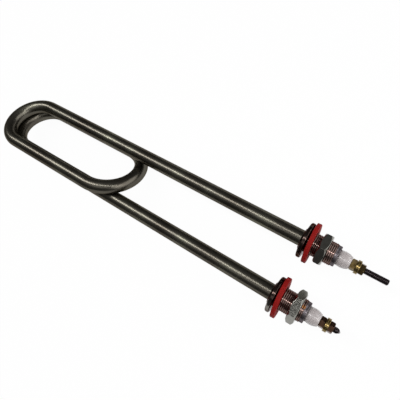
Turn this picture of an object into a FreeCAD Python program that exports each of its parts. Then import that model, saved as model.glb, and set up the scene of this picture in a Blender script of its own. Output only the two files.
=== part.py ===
import FreeCAD, Part
import Sketcher
import math
import os

# Immersion heating element: one steel tube bent into a flat coil of one and a half turns,
# with a threaded bush, gasket, lock nut, ceramic bead and brass terminal nuts on each end.
# The collars' outer faces lie in the plane x = 0 and the terminals point along +X.
# Both legs lie at z = 0, the right one at +Y and the left one at -Y. Lengths are millimetres.

os.makedirs("parts", exist_ok=True)
doc = FreeCAD.newDocument("water_heater_element")

SIZES = [
    ("tube_diameter", 12.0, "outside of the heating tube"),
    ("tube_wall", 1.0, "wall of the heating tube"),
    ("leg_spacing", 44.0, "between the axes of the two legs"),
    ("leg_length", 271.0, "from the collar face to the end bends"),
    ("middle_bend_distance", 179.0, "from the collar face to the middle bend"),
    ("upper_run_gap", 1.4, "daylight between the left leg and the run above it"),
    ("upper_run_offset", 0.5, "upper run, outwards of the left leg"),
    ("lower_run_gap", 4.4, "daylight between the right leg and the run below it"),
    ("lower_run_offset", 2.0, "lower run, outwards of the right leg"),
    ("fill_gap", 0.05, "radial gap round the insulating powder"),
    ("cold_length", 38.0, "unheated length behind the collar face"),
    ("seal_length", 6.0, "end seal behind the bead"),
    ("braze_gap", 0.05, "radial gap between tube and bush"),
    ("thread_diameter", 16.7, "bush thread, over the crests"),
    ("thread_length", 22.6, "collar face to the end of the bush"),
    ("nose_length", 2.3, "plain nose at the end of the thread"),
    ("nose_step", 0.6, "radial step from the crests to the nose"),
    ("collar_diameter", 27.0, "collar"),
    ("collar_thickness", 3.0, "collar at its rim"),
    ("collar_rim_radius", 0.9, "rounding of the collar's rim"),
    ("boss_height", 1.4, "low cone on the collar's back"),
    ("boss_diameter", 15.6, "top of the cone, where the tube leaves it"),
    ("boss_foot_diameter", 23.0, "foot of the cone on the collar"),
    ("boss_edge", 0.5, "rounding where the tube leaves the cone"),
    ("gasket_diameter", 30.4, "gasket, outside"),
    ("gasket_thickness", 3.0, "gasket"),
    ("gasket_clearance", 0.6, "radial gap between gasket and thread"),
    ("gasket_edge", 0.35, "rounding of the gasket's edges"),
    ("gasket_drop", 0.3, "how far the loose gaskets hang below the thread's axis"),
    ("right_gasket_standoff", 0.5, "right gasket, off its collar where it is nearest"),
    ("left_gasket_standoff", 0.1, "left gasket, off its collar where it is nearest"),
    ("right_gasket_tilt", 3.2, "degrees that the right gasket leans"),
    ("left_gasket_tilt", 3.6, "degrees that the left gasket leans"),
    ("lock_nut_flats", 22.0, "lock nut, across the flats"),
    ("lock_nut_thickness", 6.0, "lock nut"),
    ("right_lock_nut_at", 8.8, "right lock nut's inner face, from the collar face"),
    ("left_lock_nut_at", 11.6, "left lock nut's inner face, from the collar face"),
    ("thread_play", 0.05, "radial running gap of each nut on its thread"),
    ("bead_length", 9.0, "ceramic bead outside the tube"),
    ("bead_diameter", 11.2, "bead at the tube's mouth"),
    ("bead_shoulder_diameter", 11.8, "bead at its widest place"),
    ("bead_shoulder_at", 3.4, "bead's widest place, from the tube's mouth"),
    ("bead_tip_diameter", 8.8, "bead at the inner nut"),
    ("spigot_length", 4.0, "bead inside the tube"),
    ("spigot_gap", 0.1, "radial gap between spigot and tube"),
    ("pin_diameter", 3.5, "terminal pin inside the tube"),
    ("stud_diameter", 4.3, "threaded end of the pin, over the crests"),
    ("stud_play", 0.15, "radial gap between stud and bead"),
    ("stud_start", 3.0, "thread's start, beyond the end of the bush"),
    ("right_stud_length", 16.4, "right stud, beyond its outer nut"),
    ("left_stud_length", 4.6, "left stud, beyond its outer nut"),
    ("stud_chamfer", 0.5, "chamfer at the right stud's end"),
    ("broken_tip_length", 1.4, "tapered tip of the left stud"),
    ("broken_tip_diameter", 1.6, "end of the tapered tip"),
    ("terminal_nut_flats", 7.2, "brass nuts, across the flats"),
    ("inner_nut_thickness", 3.7, "brass nut against the bead"),
    ("outer_nut_thickness", 3.4, "brass nut that clamps the lead"),
    ("washer_diameter", 10.0, "brass washers"),
    ("washer_thickness", 1.3, "each brass washer"),
    ("washer_play", 0.2, "radial gap between washer and stud"),
    ("washer_edge", 0.25, "rounding of the washers' edges"),
]

sheet = doc.addObject("Spreadsheet::Sheet", "Sizes")
for row, (alias, value, meaning) in enumerate(SIZES, start=1):
    sheet.set("A%d" % row, alias)
    sheet.set("B%d" % row, str(value))
    sheet.set("C%d" % row, meaning)
    sheet.setAlias("B%d" % row, alias)
doc.recompute()

# Places that several pieces share, as expressions of the sizes.
THREAD_RADIUS = "Sizes.thread_diameter / 2"
TUBE_RADIUS = "Sizes.tube_diameter / 2"
TUBE_BORE = "(Sizes.tube_diameter / 2 - Sizes.tube_wall)"
STUD_RADIUS = "Sizes.stud_diameter / 2"
PIN_RADIUS = "Sizes.pin_diameter / 2"
INNER_NUT_AT = "(Sizes.thread_length + Sizes.bead_length)"
WASHERS_AT = "(%s + Sizes.inner_nut_thickness)" % INNER_NUT_AT
OUTER_NUT_AT = "(%s + 2 * Sizes.washer_thickness)" % WASHERS_AT
STUDS_AT = "(%s + Sizes.outer_nut_thickness)" % OUTER_NUT_AT
SEAL_AT = "(Sizes.thread_length - Sizes.spigot_length - Sizes.seal_length)"

# Share of a nut's half width where the chamfer of its corners starts.
CHAMFER_START = 0.985


def size(expression):
    """Value of an expression of the sheet's sizes."""
    value = sheet.evalExpression(expression)
    return float(getattr(value, "Value", value))


def new_body(label):
    body = doc.addObject("PartDesign::Body", label)
    body.Label = label
    return body


def new_sketch(body, name, plane):
    """A sketch on one of the body's own origin planes."""
    sketch = body.newObject("Sketcher::SketchObject", name)
    for feature in body.Origin.OriginFeatures:
        if feature.Role == plane:
            sketch.AttachmentSupport = (feature, "")
    sketch.MapMode = "FlatFace"
    return sketch


def fix_point(sketch, line, x, y):
    """Tie the start of a line to two sizes measured from the sketch's origin."""
    for axis, constraint, expression in ((-2, "DistanceX", x), (-1, "DistanceY", y)):
        if expression == "0":
            sketch.addConstraint(Sketcher.Constraint("PointOnObject", line, 1, axis))
            continue
        index = sketch.addConstraint(
            Sketcher.Constraint(constraint, -1, 1, line, 1, size(expression)))
        sketch.setExpression("Constraints[%d]" % index, expression)


def add_outline(sketch, corners):
    """A closed outline of straight lines through corners, each an (x, y) pair of expressions."""
    points = [FreeCAD.Vector(size(x), size(y), 0) for x, y in corners]
    lines = [sketch.addGeometry(Part.LineSegment(point, points[(i + 1) % len(points)]), False)
             for i, point in enumerate(points)]
    for i, line in enumerate(lines):
        following = lines[(i + 1) % len(lines)]
        sketch.addConstraint(Sketcher.Constraint("Coincident", line, 2, following, 1))
    for line, (x, y) in zip(lines, corners):
        fix_point(sketch, line, x, y)
    return lines


def add_circle(sketch, diameter):
    """A circle about the sketch's origin with its diameter tied to an expression."""
    centre = FreeCAD.Vector(0, 0, 0)
    normal = FreeCAD.Vector(0, 0, 1)
    circle = sketch.addGeometry(Part.Circle(centre, normal, size(diameter) / 2), False)
    sketch.addConstraint(Sketcher.Constraint("Coincident", circle, 3, -1, 1))
    index = sketch.addConstraint(Sketcher.Constraint("Diameter", circle, size(diameter)))
    sketch.setExpression("Constraints[%d]" % index, diameter)
    return circle


def add_hexagon(sketch, flats):
    """A regular hexagon about the sketch's origin, flats across, with a corner on its x axis."""
    corner_radius = "%s / sqrt(3)" % flats
    radius = size(corner_radius)
    corners = [FreeCAD.Vector(radius * math.cos(math.radians(60 * i)),
                              radius * math.sin(math.radians(60 * i)), 0) for i in range(6)]
    sides = [sketch.addGeometry(Part.LineSegment(corners[i], corners[(i + 1) % 6]), False)
             for i in range(6)]
    circle = sketch.addGeometry(
        Part.Circle(FreeCAD.Vector(0, 0, 0), FreeCAD.Vector(0, 0, 1), radius), True)
    sketch.addConstraint(Sketcher.Constraint("Coincident", circle, 3, -1, 1))
    for i, side in enumerate(sides):
        sketch.addConstraint(Sketcher.Constraint("Coincident", side, 2, sides[(i + 1) % 6], 1))
        sketch.addConstraint(Sketcher.Constraint("PointOnObject", side, 1, circle))
    for side in sides[1:]:
        sketch.addConstraint(Sketcher.Constraint("Equal", sides[0], side))
    sketch.addConstraint(Sketcher.Constraint("PointOnObject", sides[0], 1, -1))
    index = sketch.addConstraint(Sketcher.Constraint("Radius", circle, radius))
    sketch.setExpression("Constraints[%d]" % index, corner_radius)


def revolve(body, sketch, kind="PartDesign::Revolution"):
    """Turn a sketch all the way round the body's X axis."""
    feature = body.newObject(kind, sketch.Name + "_turned")
    feature.Profile = sketch
    feature.ReferenceAxis = (sketch, ["H_Axis"])
    feature.Angle = 360
    sketch.Visibility = False
    doc.recompute()
    return feature


def pad(body, sketch, length):
    feature = body.newObject("PartDesign::Pad", sketch.Name + "_pad")
    feature.Profile = sketch
    feature.setExpression("Length", length)
    doc.recompute()
    return feature


def ring_edges(feature, radius):
    """Names of a feature's circular edges that have a given radius."""
    return ["Edge%d" % i for i, edge in enumerate(feature.Shape.Edges, start=1)
            if hasattr(edge.Curve, "Radius") and abs(edge.Curve.Radius - radius) < 1e-6]


def round_rings(body, feature, radius, rounding):
    """Fillet the circular edges of one radius."""
    fillet = body.newObject("PartDesign::Fillet", feature.Name + "_rounded")
    fillet.Base = (feature, ring_edges(feature, radius))
    fillet.setExpression("Radius", rounding)
    doc.recompute()
    return fillet


def place(body, side, x, roll=0):
    """Put a piece on its leg's axis, x from the collar face, rolled about that axis."""
    body.Placement = FreeCAD.Placement(
        FreeCAD.Vector(0, 0, 0), FreeCAD.Rotation(FreeCAD.Vector(1, 0, 0), roll))
    body.setExpression(".Placement.Base.x", x)
    body.setExpression(".Placement.Base.y", "%d * Sizes.leg_spacing / 2" % side)


def turned_piece(label, corners):
    """A body turned about the X axis from one straight sided outline."""
    body = new_body(label)
    sketch = new_sketch(body, label + "_profile", "XY_Plane")
    add_outline(sketch, corners)
    revolve(body, sketch)
    return body


def ring(label, outer, bore, thickness, edge):
    """A flat ring along X with rounded outer edges: gaskets and washers."""
    body = new_body(label)
    sketch = new_sketch(body, label + "_face", "YZ_Plane")
    add_circle(sketch, outer)
    add_circle(sketch, bore)
    disc = pad(body, sketch, thickness)
    round_rings(body, disc, size(outer) / 2, edge)
    return body


def hexagon_nut(label, flats, thickness, bore):
    """A hexagon nut along X whose corners are cut back by a cone at both faces."""
    body = new_body(label)
    sketch = new_sketch(body, label + "_face", "YZ_Plane")
    add_hexagon(sketch, flats)
    add_circle(sketch, bore)
    blank = pad(body, sketch, thickness)
    start = "%s / 2 * %s" % (flats, CHAMFER_START)
    outside = "%s / sqrt(3) * 1.1" % flats
    depth = "(%s - %s) * tan(30 deg)" % (outside, start)
    corners = new_sketch(body, label + "_corners", "XY_Plane")
    add_outline(corners, [("0", start), ("0", outside), (depth, outside)])
    add_outline(corners, [(thickness, start), ("%s - %s" % (thickness, depth), outside),
                          (thickness, outside)])
    cut = revolve(body, corners, "PartDesign::Groove")
    if not cut.Shape.Volume < blank.Shape.Volume:
        raise RuntimeError(label + ": the corner chamfers cut nothing")
    return body


def bend(x, start, end, way):
    """Half circle at x from one (y, z) to another, bulging along +X or -X."""
    radius = math.hypot(end[0] - start[0], end[1] - start[1]) / 2
    middle = FreeCAD.Vector(x + way * radius, (start[0] + end[0]) / 2, (start[1] + end[1]) / 2)
    return Part.Arc(FreeCAD.Vector(x, *start), middle, FreeCAD.Vector(x, *end)).toShape()


def straight(x_start, x_end, at):
    return Part.LineSegment(FreeCAD.Vector(x_start, *at), FreeCAD.Vector(x_end, *at)).toShape()


def coil_path(name, ends_at):
    """Centre line of the coil, from x = ends_at on the right leg to x = ends_at on the left.

    Each bend is a half circle in the plane of the two runs that it joins, so the line is smooth.
    """
    half = size("Sizes.leg_spacing") / 2
    tube = size("Sizes.tube_diameter")
    right_leg = (half, 0)
    left_leg = (-half, 0)
    upper_run = (-half - size("Sizes.upper_run_offset"), tube + size("Sizes.upper_run_gap"))
    lower_run = (half + size("Sizes.lower_run_offset"), -tube - size("Sizes.lower_run_gap"))
    far_end = -size("Sizes.leg_length")
    middle = -size("Sizes.middle_bend_distance")
    edges = [
        straight(ends_at, far_end, right_leg),
        bend(far_end, right_leg, upper_run, -1),
        straight(far_end, middle, upper_run),
        bend(middle, upper_run, lower_run, 1),
        straight(middle, far_end, lower_run),
        bend(far_end, lower_run, left_leg, -1),
        straight(far_end, ends_at, left_leg),
    ]
    path = doc.addObject("Part::Feature", name)
    path.Shape = Part.Wire(edges)
    return path


def swept_rod(name, path, ends_at, diameter):
    """A round rod swept along a coil path."""
    circle = doc.addObject("Part::Circle", name + "_section")
    circle.setExpression("Radius", "%s / 2" % diameter)
    circle.Placement = FreeCAD.Placement(
        FreeCAD.Vector(ends_at, size("Sizes.leg_spacing") / 2, 0),
        FreeCAD.Rotation(FreeCAD.Vector(0, 1, 0), 90))
    rod = doc.addObject("Part::Sweep", name)
    rod.Sections = [circle]
    rod.Spine = (path, ["Edge%d" % i for i in range(1, len(path.Shape.Edges) + 1)])
    rod.Solid = True
    rod.Frenet = False
    doc.recompute()
    return rod


def swept_pipe(label, ends_at, outer, inner):
    """A pipe along the coil: an outer rod less an inner one."""
    path = coil_path(label + "_path", ends_at)
    pipe = doc.addObject("Part::Cut", label)
    pipe.Base = swept_rod(label + "_outside", path, ends_at, outer)
    pipe.Tool = swept_rod(label + "_inside", path, ends_at, inner)
    pipe.Label = label
    doc.recompute()
    return pipe


def make_coil():
    """The tube, the powder packed in it and the resistance coil in the powder's middle."""
    bore = "2 * " + TUBE_BORE
    core = "(Sizes.pin_diameter + 2 * Sizes.fill_gap)"
    cold_end = -size("Sizes.cold_length")
    tube = swept_pipe("heating_tube", size("Sizes.thread_length"), "Sizes.tube_diameter", bore)
    fill = swept_pipe("magnesia_fill", size(SEAL_AT), "(%s - 2 * Sizes.fill_gap)" % bore, core)
    path = coil_path("resistance_coil_path", cold_end)
    coil = swept_rod("resistance_coil", path, cold_end, "Sizes.pin_diameter")
    coil.Label = "resistance_coil"
    return [tube, fill, coil]


def make_fitting(label):
    """Threaded bush with its collar and the low cone behind it, turned in one piece."""
    start = "-(Sizes.collar_thickness + Sizes.boss_height)"
    back = "-Sizes.collar_thickness"
    bore = "(%s + Sizes.braze_gap)" % TUBE_RADIUS
    nose = "(Sizes.thread_length - Sizes.nose_length)"
    nose_radius = "(%s - Sizes.nose_step)" % THREAD_RADIUS
    body = new_body(label)
    sketch = new_sketch(body, label + "_profile", "XY_Plane")
    add_outline(sketch, [
        (start, bore),
        (start, "Sizes.boss_diameter / 2"),
        (back, "Sizes.boss_foot_diameter / 2"),
        (back, "Sizes.collar_diameter / 2"),
        ("0", "Sizes.collar_diameter / 2"),
        ("0", THREAD_RADIUS),
        (nose + " - Sizes.nose_step", THREAD_RADIUS),
        (nose, nose_radius),
        ("Sizes.thread_length", nose_radius),
        ("Sizes.thread_length", bore),
    ])
    turned = revolve(body, sketch)
    rounded = round_rings(body, turned, size("Sizes.collar_diameter") / 2,
                          "Sizes.collar_rim_radius")
    round_rings(body, rounded, size("Sizes.boss_diameter") / 2, "Sizes.boss_edge")
    return body


def make_bead(label):
    """Ceramic bead: a spigot in the tube's mouth, a neck that widens and a dome to the nut."""
    bore = "(%s + Sizes.stud_play)" % STUD_RADIUS
    spigot = "(%s - Sizes.spigot_gap)" % TUBE_BORE
    mouth = "Sizes.spigot_length"
    shoulder = "(Sizes.spigot_length + Sizes.bead_shoulder_at)"
    widest = "Sizes.bead_shoulder_diameter / 2"
    tip = "(Sizes.spigot_length + Sizes.bead_length)"
    body = new_body(label)
    sketch = new_sketch(body, label + "_profile", "XY_Plane")
    corners = [(tip, "Sizes.bead_tip_diameter / 2"), (tip, bore), ("0", bore), ("0", spigot),
               (mouth, spigot), (mouth, "Sizes.bead_diameter / 2"),
               (shoulder, widest)]
    points = [FreeCAD.Vector(size(x), size(y), 0) for x, y in corners]
    lines = [sketch.addGeometry(Part.LineSegment(points[i], points[i + 1]), False)
             for i in range(len(points) - 1)]
    run = points[0].x - points[-1].x
    fall = points[-1].y - points[0].y
    radius = (run ** 2 + fall ** 2) / (2 * fall)
    half_turn = math.atan2(run, radius - fall) / 2
    middle = points[-1] + FreeCAD.Vector(
        radius * math.sin(half_turn), radius * (math.cos(half_turn) - 1), 0)
    dome = sketch.addGeometry(Part.Arc(points[0], middle, points[-1]), False)
    for i in range(len(lines) - 1):
        sketch.addConstraint(Sketcher.Constraint("Coincident", lines[i], 2, lines[i + 1], 1))
    sketch.addConstraint(Sketcher.Constraint("Coincident", dome, 1, lines[0], 1))
    sketch.addConstraint(Sketcher.Constraint("Coincident", dome, 2, lines[-1], 2))
    for line, (x, y) in zip(lines, corners):
        fix_point(sketch, line, x, y)
    for kind, point, place_of_it, expression in (
            ("DistanceX", lines[-1], 2, shoulder), ("DistanceY", lines[-1], 2, widest),
            ("DistanceX", dome, 3, shoulder)):
        index = sketch.addConstraint(
            Sketcher.Constraint(kind, -1, 1, point, place_of_it, size(expression)))
        sketch.setExpression("Constraints[%d]" % index, expression)
    revolve(body, sketch)
    return body


def make_right_pin(label):
    """Terminal pin with a long threaded stud and a chamfered end."""
    stud_end = "(%s + Sizes.right_stud_length + Sizes.cold_length)" % STUDS_AT
    chamfer_radius = "(%s - Sizes.stud_chamfer)" % STUD_RADIUS
    return turned_piece(label, [
        ("0", "0"),
        ("0", PIN_RADIUS),
        ("Sizes.cold_length + Sizes.thread_length + Sizes.stud_start", PIN_RADIUS),
        ("Sizes.cold_length + Sizes.thread_length + Sizes.stud_start", STUD_RADIUS),
        (stud_end + " - Sizes.stud_chamfer", STUD_RADIUS),
        (stud_end, chamfer_radius),
        (stud_end, "0"),
    ])


def make_left_pin(label):
    """Terminal pin whose stud is broken off short, with a tapered tip."""
    stud_end = "(%s + Sizes.left_stud_length + Sizes.cold_length)" % STUDS_AT
    return turned_piece(label, [
        ("0", "0"),
        ("0", PIN_RADIUS),
        ("Sizes.cold_length + Sizes.thread_length + Sizes.stud_start", PIN_RADIUS),
        ("Sizes.cold_length + Sizes.thread_length + Sizes.stud_start", STUD_RADIUS),
        (stud_end + " - Sizes.broken_tip_length", STUD_RADIUS),
        (stud_end, "Sizes.broken_tip_diameter / 2"),
        (stud_end, "0"),
    ])


def make_gasket(label):
    return ring(label, "Sizes.gasket_diameter",
                "(Sizes.thread_diameter + 2 * Sizes.gasket_clearance)",
                "Sizes.gasket_thickness", "Sizes.gasket_edge")


def make_washer(label):
    return ring(label, "Sizes.washer_diameter",
                "(Sizes.stud_diameter + 2 * Sizes.washer_play)",
                "Sizes.washer_thickness", "Sizes.washer_edge")


def make_seal(label):
    return turned_piece(label, [
        ("0", "(%s + Sizes.fill_gap)" % PIN_RADIUS),
        ("0", "(%s - Sizes.fill_gap)" % TUBE_BORE),
        ("Sizes.seal_length", "(%s - Sizes.fill_gap)" % TUBE_BORE),
        ("Sizes.seal_length", "(%s + Sizes.fill_gap)" % PIN_RADIUS),
    ])


def lean_gasket(gasket, side, standoff, tilt):
    """Hang a loose gasket on its thread, leaning about Z, with its near edge at the standoff."""
    lean = math.radians(size(tilt))
    reach = "Sizes.gasket_diameter / 2 * %.12f" % math.sin(lean)
    place(gasket, side, "%s + %s" % (standoff, reach))
    gasket.Placement.Rotation = FreeCAD.Rotation(FreeCAD.Vector(0, 0, 1), size(tilt))
    gasket.setExpression(".Placement.Base.z", "-Sizes.gasket_drop")


def make_terminal(name, side, lock_roll, inner_roll, outer_roll):
    """Every loose or screwed piece of one leg, from the collar outwards."""
    lock_nut_bore = "(Sizes.thread_diameter + 2 * Sizes.thread_play)"
    stud_nut_bore = "(Sizes.stud_diameter + 2 * Sizes.thread_play)"
    fitting = make_fitting(name + "_fitting")
    place(fitting, side, "0")
    gasket = make_gasket(name + "_gasket")
    lean_gasket(gasket, side, "Sizes.%s_gasket_standoff" % name, "Sizes.%s_gasket_tilt" % name)
    lock_nut = hexagon_nut(name + "_lock_nut", "Sizes.lock_nut_flats",
                           "Sizes.lock_nut_thickness", lock_nut_bore)
    place(lock_nut, side, "Sizes.%s_lock_nut_at" % name, lock_roll)
    seal = make_seal(name + "_end_seal")
    place(seal, side, SEAL_AT)
    bead = make_bead(name + "_insulator")
    place(bead, side, "Sizes.thread_length - Sizes.spigot_length")
    pin = (make_right_pin if side > 0 else make_left_pin)(name + "_terminal_pin")
    place(pin, side, "-Sizes.cold_length")
    inner_nut = hexagon_nut(name + "_inner_nut", "Sizes.terminal_nut_flats",
                            "Sizes.inner_nut_thickness", stud_nut_bore)
    place(inner_nut, side, INNER_NUT_AT, inner_roll)
    inner_washer = make_washer(name + "_inner_washer")
    place(inner_washer, side, WASHERS_AT)
    outer_washer = make_washer(name + "_outer_washer")
    place(outer_washer, side, WASHERS_AT + " + Sizes.washer_thickness")
    outer_nut = hexagon_nut(name + "_outer_nut", "Sizes.terminal_nut_flats",
                            "Sizes.outer_nut_thickness", stud_nut_bore)
    place(outer_nut, side, OUTER_NUT_AT, outer_roll)
    return [fitting, gasket, lock_nut, seal, bead, pin, inner_nut, inner_washer, outer_washer,
            outer_nut]


# Turns of the nuts about their axes, in degrees, as they happen to stand.
pieces = make_coil()
pieces += make_terminal("right", 1, lock_roll=41, inner_roll=17, outer_roll=49)
pieces += make_terminal("left", -1, lock_roll=5, inner_roll=18, outer_roll=18)
doc.recompute()

for item in doc.Objects:
    if "Invalid" in item.State or "Error" in item.State:
        raise RuntimeError("%s failed: %s" % (item.Label, item.State))
for piece in pieces:
    if piece.Shape.isNull() or not piece.Shape.isValid() or len(piece.Shape.Solids) != 1:
        raise RuntimeError(piece.Label + " is not one valid solid")
for piece in pieces:
    piece.Shape.exportStep("parts/%s.step" % piece.Label)
    print("%-24s %10.1f mm3" % (piece.Label, piece.Shape.Volume))
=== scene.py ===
"""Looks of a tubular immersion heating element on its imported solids.

One steel tube is bent into a flat coil of one and a half turns. Each of its two ends carries a
threaded bush, a red gasket, a lock nut, a ceramic bead, a threaded stud and brass terminal nuts.
Everything is in metres, with the terminals along +X and the legs level in the plane z = 0.
"""

import random
from math import atan2, ceil, cos, degrees, pi, radians, sin, tan

import bmesh
import bpy
from bpy.props import FloatProperty, FloatVectorProperty, IntProperty, PointerProperty
from mathutils import Matrix, Vector


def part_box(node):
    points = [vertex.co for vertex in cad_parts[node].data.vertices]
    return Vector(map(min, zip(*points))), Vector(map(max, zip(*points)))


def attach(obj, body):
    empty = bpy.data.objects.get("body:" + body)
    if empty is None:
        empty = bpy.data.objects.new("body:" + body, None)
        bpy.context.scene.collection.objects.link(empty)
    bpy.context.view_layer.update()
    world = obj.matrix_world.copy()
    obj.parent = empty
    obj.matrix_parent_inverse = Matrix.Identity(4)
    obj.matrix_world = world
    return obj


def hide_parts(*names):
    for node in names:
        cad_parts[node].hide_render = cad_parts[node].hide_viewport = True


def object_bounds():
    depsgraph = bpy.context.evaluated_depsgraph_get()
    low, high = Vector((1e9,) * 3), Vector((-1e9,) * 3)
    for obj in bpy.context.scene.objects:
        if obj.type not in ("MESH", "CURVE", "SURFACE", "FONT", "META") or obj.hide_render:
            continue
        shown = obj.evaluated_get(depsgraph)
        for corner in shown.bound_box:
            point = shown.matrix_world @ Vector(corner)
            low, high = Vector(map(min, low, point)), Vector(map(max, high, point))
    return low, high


bl_info = {
    "name": "Immersion heating element",
    "version": (1, 0, 0),
    "blender": (4, 5, 0),
    "location": "View3D > Sidebar > Heater",
    "description": "Builds the dressed pieces of an immersion heating element, and its stage",
    "category": "Object",
}

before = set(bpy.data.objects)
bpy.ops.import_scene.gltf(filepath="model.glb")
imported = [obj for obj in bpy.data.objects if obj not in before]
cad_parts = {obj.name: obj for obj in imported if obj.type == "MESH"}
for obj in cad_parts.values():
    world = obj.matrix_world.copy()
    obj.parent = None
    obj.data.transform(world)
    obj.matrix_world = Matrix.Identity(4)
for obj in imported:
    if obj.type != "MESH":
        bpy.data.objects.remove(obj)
CAD_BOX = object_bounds()

SIDES = (("right", 1), ("left", -1))
ROOT = "element"

# Metres of radial play between a thread and its nut, and between the tube and a bush.
PLAY = 0.00005
# Steps of each half circle of the coil, and about how long a step of a straight run is, in metres.
BEND_STEPS = 48
RUN_STEP = 0.012
# The photograph's camera: width and focal length in pixels, place in metres, and its yaw,
# pitch and roll in radians. A full-frame sensor is 36 mm wide.
PHOTO_WIDTH = 400.0
FOCAL_LENGTH = 388.59
SENSOR = 36.0
CAMERA_PLACE = (0.0296228, -0.0288545, 0.2824878)
CAMERA_TURN = (2.8099, -1.1574, -0.7186)


# Measures and colours

def linear(text):
    """Linear RGBA of an sRGB colour written as #RRGGBB."""
    levels = [int(text[i:i + 2], 16) / 255 for i in (1, 3, 5)]
    return tuple(level / 12.92 if level <= 0.04045 else ((level + 0.055) / 1.055) ** 2.4
                 for level in levels) + (1.0,)


def shade_of(shade):
    """RGBA values of a colour property, or of a colour written as #RRGGBB."""
    return linear(shade) if isinstance(shade, str) else tuple(shade)


def per_mm(width):
    """Texture scale at which one cell of a pattern is width millimetres wide."""
    return 1000.0 / width


def span(node):
    """Lowest and highest x of a node of the frame."""
    low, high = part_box(node)
    return float(low[0]), float(high[0])


def legs(sizes):
    """Name, way along Y and place along Y of each leg."""
    return [(side, way, way * sizes.leg_spacing / 2) for side, way in SIDES]


def length(name, description, millimetres):
    return FloatProperty(name=name, description=description, default=millimetres / 1000,
                         min=0.0, precision=5, subtype="DISTANCE", unit="LENGTH")


def turn(name, description, angle):
    return FloatProperty(name=name, description=description, default=radians(angle),
                         subtype="ANGLE", unit="ROTATION")


def colour(name, description, text):
    return FloatVectorProperty(name=name, description=description, default=linear(text), size=4,
                               min=0.0, max=1.0, subtype="COLOR")


def power(name, description, watts):
    return FloatProperty(name=name, description=description, default=watts, min=0.0,
                         subtype="POWER", unit="POWER")


class HeaterSizes(bpy.types.PropertyGroup):
    """Sizes of the dressed pieces."""

    tube_diameter: length("Tube diameter", "Outside of the heating tube", 12.0)
    tube_wall: length("Tube wall", "Wall of the heating tube", 1.0)
    leg_spacing: length("Leg spacing", "Between the axes of the two legs", 44.0)
    leg_length: length("Leg length", "From the collar face to the end bends", 271.0)
    middle_distance: length("Middle bend", "From the collar face to the middle bend", 179.0)
    upper_gap: length("Upper gap", "Daylight between left leg and upper run", 1.4)
    upper_offset: length("Upper offset", "Upper run, outwards of the left leg", 0.5)
    lower_gap: length("Lower gap", "Daylight between right leg and lower run", 4.4)
    lower_offset: length("Lower offset", "Lower run, outwards of the right leg", 2.0)
    tube_end: length("Tube end", "From the collar face to the tube's mouth", 22.6)
    thread_diameter: length("Bush thread", "Bush thread over its crests", 16.7)
    thread_pitch: length("Bush pitch", "Pitch of the bush thread", 1.337)
    thread_depth: length("Bush thread depth", "Depth of the bush thread", 0.32)
    nose_length: length("Nose", "Plain nose at the end of the thread", 2.3)
    nose_step: length("Nose step", "Radial step from the crests to the nose", 0.6)
    collar_diameter: length("Collar", "Outside of the collar", 27.0)
    collar_thickness: length("Collar thickness", "Collar at its rim", 3.0)
    boss_height: length("Cone height", "Low cone on the collar's back", 1.4)
    boss_diameter: length("Cone top", "Where the tube leaves the cone", 15.6)
    boss_foot: length("Cone foot", "Foot of the cone on the collar", 23.0)
    gasket_diameter: length("Gasket", "Outside of the gasket", 30.4)
    gasket_bore: length("Gasket bore", "Hole in the gasket", 17.9)
    gasket_thickness: length("Gasket thickness", "Thickness of the gasket", 3.0)
    gasket_drop: length("Gasket drop", "How far the gaskets hang below the axis", 0.3)
    right_gasket_at: length("Right gasket place", "Near edge of the right gasket", 0.5)
    left_gasket_at: length("Left gasket place", "Near edge of the left gasket", 0.1)
    right_gasket_lean: turn("Right gasket lean", "Lean of the right gasket", 3.2)
    left_gasket_lean: turn("Left gasket lean", "Lean of the left gasket", 3.6)
    lock_nut_flats: length("Lock nut", "Lock nut across the flats", 22.0)
    right_lock_turn: turn("Right lock nut turn", "How the right lock nut stands", 41)
    left_lock_turn: turn("Left lock nut turn", "How the left lock nut stands", 5)
    bead_mouth: length("Bead at the tube", "Bead at the tube's mouth", 11.2)
    bead_widest: length("Bead widest", "Bead at its widest place", 11.8)
    bead_widest_at: length("Bead widest place", "From the tube's mouth", 3.4)
    bead_tip: length("Bead tip", "Bead at the inner nut", 8.8)
    spigot_diameter: length("Bead spigot", "Bead inside the tube", 9.8)
    bead_bore: length("Bead bore", "Hole in the bead", 4.6)
    stud_diameter: length("Stud", "Threaded stud over its crests", 4.3)
    stud_pitch: length("Stud pitch", "Pitch of the stud's thread", 0.7)
    stud_depth: length("Stud thread depth", "Depth of the stud's thread", 0.28)
    pin_diameter: length("Pin", "Plain pin inside the tube", 3.5)
    terminal_flats: length("Brass nuts", "Brass nuts across the flats", 7.2)
    right_inner_turn: turn("Right inner nut turn", "How the right inner nut stands", 17)
    right_outer_turn: turn("Right outer nut turn", "How the right outer nut stands", 49)
    left_inner_turn: turn("Left inner nut turn", "How the left inner nut stands", 18)
    left_outer_turn: turn("Left outer nut turn", "How the left outer nut stands", 18)
    washer_diameter: length("Washers", "Outside of the brass washers", 10.0)
    washer_bore: length("Washer bore", "Hole in the brass washers", 4.7)
    around: IntProperty(name="Facets", description="Facets round the large pieces",
                        default=96, min=24, max=192)


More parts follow.
